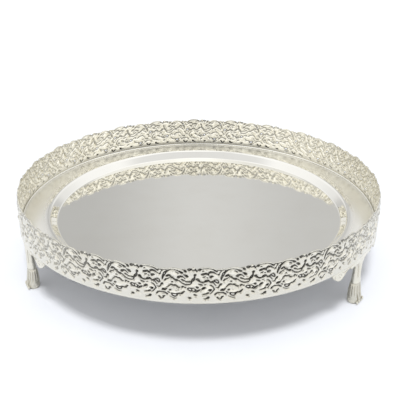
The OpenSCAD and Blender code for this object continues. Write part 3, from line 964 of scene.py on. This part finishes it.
foot_mesh = join_parts(
    [bracket_part(), leg_part(), tab_part()] + [claw_part(x) for x in CLAWS]
)
verts, faces, darkening = foot_mesh
for side, angle in FOOT_ANGLES.items():
    foot = new_object(f"paw_foot_{side}", turned(verts, angle - 90), faces, darkening, 60)
    finish_piece(foot, CAST, "cast_silver", f"foot_{side}")

# ---------------------------------------------------------------- fixings keep their CAD solids
for group in ("gallery", "foot"):
    for kind in ("studs", "washers", "nuts"):
        soft_steel(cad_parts[f"{group}_{kind}"])

# ---------------------------------------------------------------- stage
TURN = math.radians(4.8)  # the camera stands this far round from -Y, towards +X
ELEVATION = math.radians(25.35)
DISTANCE = 0.6153  # metres from the camera to the point it looks at
right = Vector((math.cos(TURN), math.sin(TURN), 0))
target = right * 0.00105 + Vector((0, 0, 0.04715))  # just beside the axis, a little above the dish
towards = Vector(
    (
        math.sin(TURN) * math.cos(ELEVATION),
        -math.cos(TURN) * math.cos(ELEVATION),
        math.sin(ELEVATION),
    )
)
camera_data = bpy.data.cameras.new("camera")
camera_data.lens = 63.54  # millimetres
camera_data.sensor_width = 36  # millimetres
camera_data.clip_start = 0.01
camera = bpy.data.objects.new("camera", camera_data)
camera.location = target + towards * DISTANCE
camera.rotation_euler = (-towards).to_track_quat("-Z", "Y").to_euler()
bpy.context.scene.collection.objects.link(camera)
bpy.context.scene.camera = camera

FLOOR_R = 7.0
BELOW_PAWS = 0.0002  # keeps the floor clear of the paws' soles
bpy.ops.mesh.primitive_circle_add(
    vertices=96, radius=FLOOR_R, fill_type="NGON", location=(0, 0, -BELOW_PAWS)
)
floor = bpy.context.object
floor.name = "floor"
paper = Nodes("white_paper")
fibre = paper.noise(30.0, 6.0)
whites = paper.mix(fibre, (0.69, 0.706, 0.748), (0.715, 0.729, 0.768))
paper.link(whites, paper.shader.inputs["Base Color"])
paper.link(paper.ramp(fibre, 0.7, 0.9), paper.shader.inputs["Roughness"])
paper.shader.inputs["Specular IOR Level"].default_value = 0.1
floor.data.materials.append(paper.material)

key_data = bpy.data.lights.new("key", "SUN")
key_data.energy = 2.2
key_data.angle = math.radians(14)
key = bpy.data.objects.new("key", key_data)
lean = 0.36  # the key light stands high up, on the camera's side
key_from = Vector((math.sin(TURN) * lean, -math.cos(TURN) * lean, 0.93))
key.rotation_euler = (-key_from).to_track_quat("-Z", "Y").to_euler()
key.visible_glossy = False
bpy.context.scene.collection.objects.link(key)

# Studio walls and ceiling, as brightness over direction. Positions are sines of the height above
# the horizon: a grey wall behind the plate, and bright sides, front and ceiling.
BACK_WALL = [(0.0, 0.55), (0.2, 0.62), (0.3, 0.67), (0.6, 0.68), (0.72, 1.15), (1.0, 1.2)]
SIDE_WALL = [(0.0, 0.55), (0.2, 0.62), (0.33, 0.85), (0.6, 1.0), (1.0, 1.1)]
FRONT_WALL = [(0.0, 1.15), (0.5, 1.15), (0.85, 0.8), (0.96, 0.78), (1.0, 1.1)]


class Studio:
    """The world's node tree, with a few calls for building it."""

    def __init__(self):
        world = bpy.data.worlds.new("studio")
        bpy.context.scene.world = world
        world.use_nodes = True
        self.tree = world.node_tree
        self.background = self.tree.nodes["Background"]
        self.direction = self.tree.nodes.new("ShaderNodeTexCoord").outputs["Generated"]

    def along(self, vector):
        """The direction's share along a vector."""
        node = self.tree.nodes.new("ShaderNodeVectorMath")
        node.operation = "DOT_PRODUCT"
        node.inputs[1].default_value = vector
        self.tree.links.new(self.direction, node.inputs[0])
        return node.outputs["Value"]

    def steps(self, value, stops, tint=(1.0, 1.0, 1.0)):
        """A smooth ramp of (position, brightness) stops in the given tint."""
        node = self.tree.nodes.new("ShaderNodeValToRGB")
        ramp = node.color_ramp
        ramp.interpolation = "EASE"
        while len(ramp.elements) < len(stops):
            ramp.elements.new(0.5)
        for element, (position, level) in zip(ramp.elements, stops):
            element.position = position
        for element, (position, level) in zip(ramp.elements, stops):
            element.color = (*(level * t for t in tint), 1)
        self.tree.links.new(value, node.inputs["Fac"])
        return node.outputs["Color"]

    def range(self, value, low, high, start, end):
        """Maps value from start..end to low..high along a smooth curve."""
        node = self.tree.nodes.new("ShaderNodeMapRange")
        node.interpolation_type = "SMOOTHSTEP"
        self.tree.links.new(value, node.inputs["Value"])
        for key, number in (("From Min", start), ("From Max", end), ("To Min", low), ("To Max", high)):
            node.inputs[key].default_value = number
        return node.outputs["Result"]

    def size(self, value):
        """The value without its sign."""
        node = self.tree.nodes.new("ShaderNodeMath")
        node.operation = "ABSOLUTE"
        self.tree.links.new(value, node.inputs[0])
        return node.outputs["Value"]

    def blend(self, mode, factor, a, b):
        """Blends colour b over colour a."""
        node = self.tree.nodes.new("ShaderNodeMix")
        node.data_type = "RGBA"
        node.blend_type = mode
        sockets = [s for s in node.inputs if s.type == "RGBA"]
        for socket, value in zip([node.inputs["Factor"]] + sockets, (factor, a, b)):
            if isinstance(value, (int, float)):
                socket.default_value = value
            else:
                self.tree.links.new(value, socket)
        return next(s for s in node.outputs if s.type == "RGBA")


studio = Studio()
backward = Vector((-math.sin(TURN), math.cos(TURN), 0))
height = studio.along((0, 0, 1))
to_back = studio.along(backward)
to_right = studio.along(right)
back_wall = studio.steps(height, BACK_WALL, (1.0, 1.0, 0.995))
front_wall = studio.steps(height, FRONT_WALL)
# The wall behind darkens to both sides of its middle, and the side walls follow on from it.
left_fall = studio.range(to_right, 0.76, 1.0, -0.17, 0.0)
right_fall = studio.range(to_right, 1.0, 0.86, 0.0, 0.17)
back_wall = studio.blend("MULTIPLY", 1.0, back_wall, left_fall)
back_wall = studio.blend("MULTIPLY", 1.0, back_wall, right_fall)
side_wall = studio.steps(height, SIDE_WALL)
sideways = studio.range(studio.size(to_right), 0.0, 1.0, 0.19, 0.26)
back_wall = studio.blend("MIX", sideways, back_wall, side_wall)
sky = studio.blend("MIX", studio.range(to_back, 0.0, 1.0, -0.25, 0.0), front_wall, back_wall)
# The camera's own surroundings are darker than the rest of the sky.
around_camera = studio.range(studio.along(towards), 1.0, 0.45, 0.96, 0.99)
sky = studio.blend("MULTIPLY", 1.0, sky, around_camera)
studio.tree.links.new(sky, studio.background.inputs["Color"])

view = bpy.context.scene.view_settings
view.view_transform = "Standard"
view.look = "None"
view.exposure = 0
view.gamma = 1
